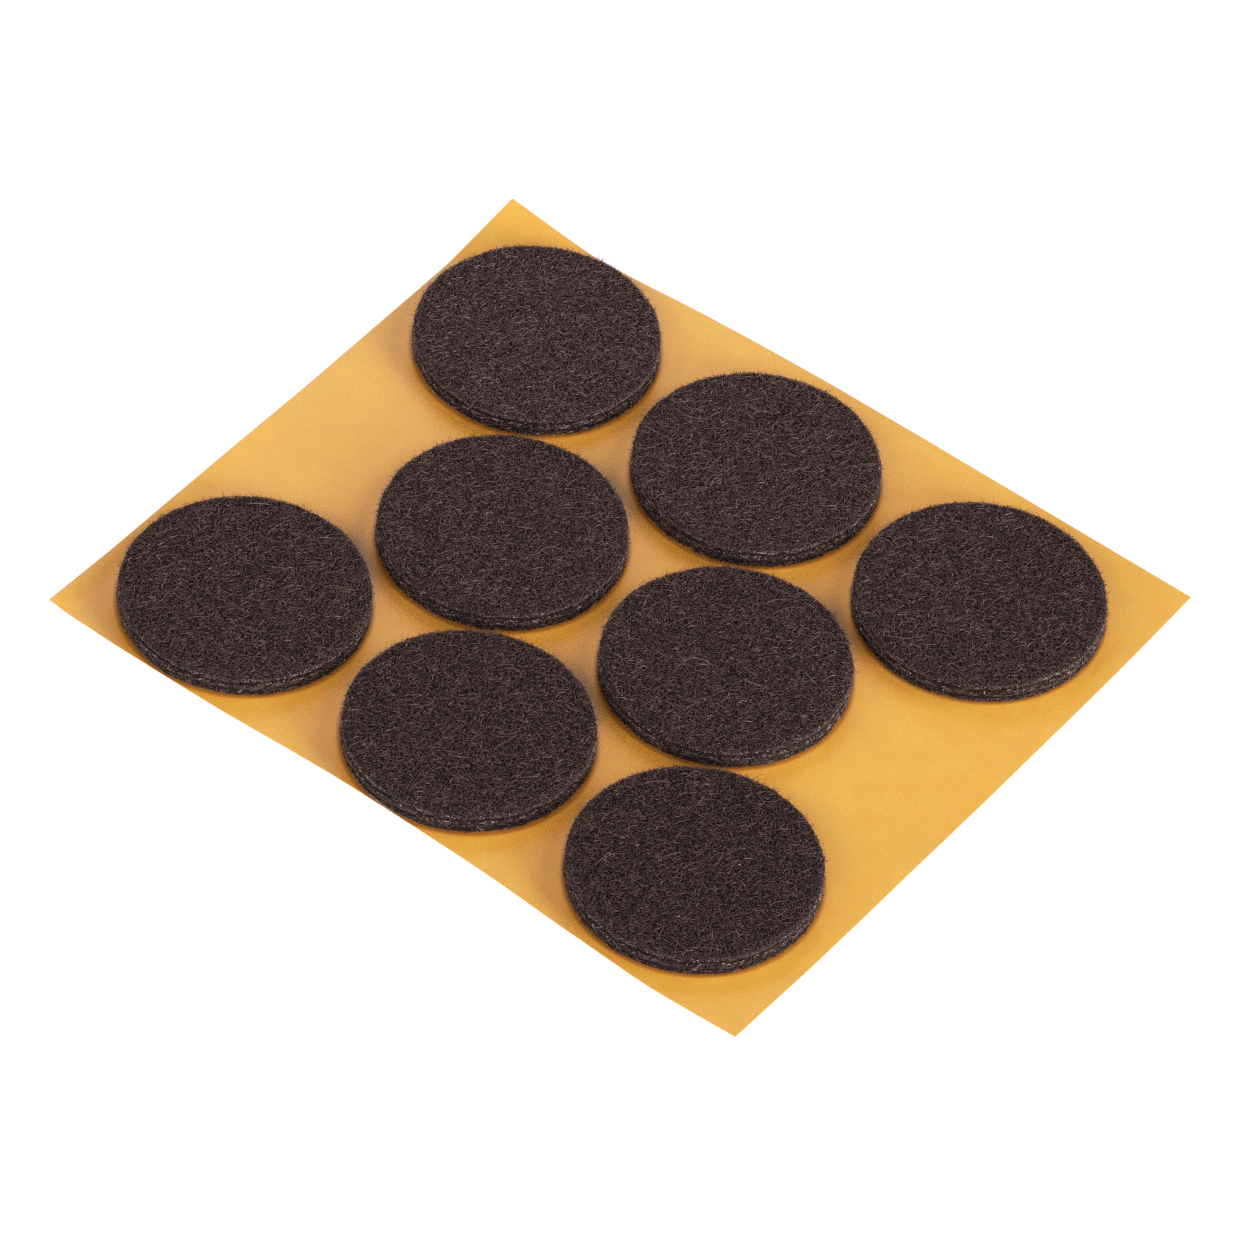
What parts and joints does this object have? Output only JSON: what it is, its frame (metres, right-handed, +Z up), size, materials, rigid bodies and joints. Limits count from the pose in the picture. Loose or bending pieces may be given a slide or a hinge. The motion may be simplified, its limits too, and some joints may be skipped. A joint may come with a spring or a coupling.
{
  "type": "felt furniture slider pads",
  "caption": "Round self-adhesive felt glides in staggered rows on an amber release-paper sheet; each lifts off to stick under a furniture leg and slide on floors.",
  "frame": {"origin": "middle of the backing sheet's outline, on its underside", "axes": "+Z up through the pads, +X along the rows of pads (the sheet's longer side), +Y towards the rear edge of the sheet"},
  "size_m": [0.096, 0.0864, 0.003],
  "materials": {
    "release_paper": "satin",
    "adhesive": "gloss",
    "felt": "matte"
  },
  "bodies": {
    "sheet": {"backing_sheet": "release_paper"},
    "pad_1": {"felt_pad_1": "felt", "adhesive_disc_1": "adhesive"},
    "pad_2": {"felt_pad_2": "felt", "adhesive_disc_2": "adhesive"},
    "pad_3": {"felt_pad_3": "felt", "adhesive_disc_3": "adhesive"},
    "pad_4": {"felt_pad_4": "felt", "adhesive_disc_4": "adhesive"},
    "pad_5": {"felt_pad_5": "felt", "adhesive_disc_5": "adhesive"},
    "pad_6": {"felt_pad_6": "felt", "adhesive_disc_6": "adhesive"},
    "pad_7": {"felt_pad_7": "felt", "adhesive_disc_7": "adhesive"},
    "pad_8": {"felt_pad_8": "felt", "adhesive_disc_8": "adhesive"}
  },
  "joints": [
    {"name": "pad_1_lift", "type": "slide", "parent": "sheet", "child": "pad_1", "axis": [0, 0, 1], "range_m": [0, 0.025]},
    {"name": "pad_2_lift", "type": "slide", "parent": "sheet", "child": "pad_2", "axis": [0, 0, 1], "range_m": [0, 0.025]},
    {"name": "pad_3_lift", "type": "slide", "parent": "sheet", "child": "pad_3", "axis": [0, 0, 1], "range_m": [0, 0.025]},
    {"name": "pad_4_lift", "type": "slide", "parent": "sheet", "child": "pad_4", "axis": [0, 0, 1], "range_m": [0, 0.025]},
    {"name": "pad_5_lift", "type": "slide", "parent": "sheet", "child": "pad_5", "axis": [0, 0, 1], "range_m": [0, 0.025]},
    {"name": "pad_6_lift", "type": "slide", "parent": "sheet", "child": "pad_6", "axis": [0, 0, 1], "range_m": [0, 0.025]},
    {"name": "pad_7_lift", "type": "slide", "parent": "sheet", "child": "pad_7", "axis": [0, 0, 1], "range_m": [0, 0.025]},
    {"name": "pad_8_lift", "type": "slide", "parent": "sheet", "child": "pad_8", "axis": [0, 0, 1], "range_m": [0, 0.025]}
  ]
}
